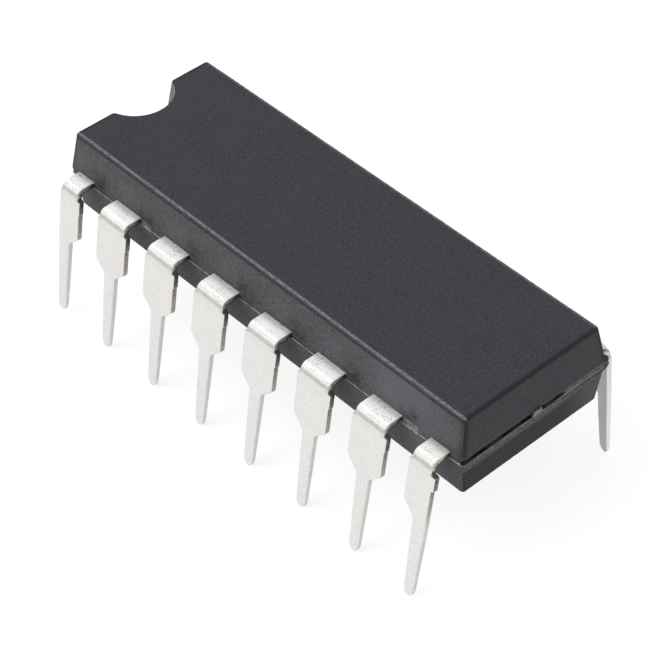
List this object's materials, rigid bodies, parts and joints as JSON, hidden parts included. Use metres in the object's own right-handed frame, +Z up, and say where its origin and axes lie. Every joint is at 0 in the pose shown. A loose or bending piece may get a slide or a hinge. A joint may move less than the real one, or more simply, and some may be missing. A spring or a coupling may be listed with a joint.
{
  "type": "dip integrated circuit chip",
  "caption": "Dual in-line integrated circuit: notched moulded body with two rows of bent, shouldered leads, and the lead frame, die and bond wires inside it.",
  "frame": {"origin": "centre of the rectangle of lead tips, on the surface that the tips stand on", "axes": "+X along the body, away from the notch; +Y across the two rows, towards leads 9 to 16; +Z up, from the lead tips to the top face"},
  "size_m": [0.0192, 0.0096, 0.0069],
  "materials": {
    "mould_compound": "matte dark grey epoxy moulding compound with fine filler grain",
    "tinned_lead": "matte tin plating on a copper alloy sheet, cut edges duller and brownish near the bend",
    "copper_frame": "bare copper alloy sheet",
    "die_adhesive": "silver-filled epoxy",
    "silicon": "polished silicon",
    "gold_wire": "drawn gold wire"
  },
  "bodies": {
    "root": {"moulded_body": "mould_compound", "die_pad": "copper_frame", "die_attach": "die_adhesive", "silicon_die": "silicon", "lead_01": "tinned_lead", "lead_02": "tinned_lead", "lead_03": "tinned_lead", "lead_04": "tinned_lead", "lead_05": "tinned_lead", "lead_06": "tinned_lead", "lead_07": "tinned_lead", "lead_08": "tinned_lead", "lead_09": "tinned_lead", "lead_10": "tinned_lead", "lead_11": "tinned_lead", "lead_12": "tinned_lead", "lead_13": "tinned_lead", "lead_14": "tinned_lead", "lead_15": "tinned_lead", "lead_16": "tinned_lead", "bond_wire_01": "gold_wire", "bond_wire_02": "gold_wire", "bond_wire_03": "gold_wire", "bond_wire_04": "gold_wire", "bond_wire_05": "gold_wire", "bond_wire_06": "gold_wire", "bond_wire_07": "gold_wire", "bond_wire_08": "gold_wire", "bond_wire_09": "gold_wire", "bond_wire_10": "gold_wire", "bond_wire_11": "gold_wire", "bond_wire_12": "gold_wire", "bond_wire_13": "gold_wire", "bond_wire_14": "gold_wire", "bond_wire_15": "gold_wire", "bond_wire_16": "gold_wire"}
  },
  "joints": []
}
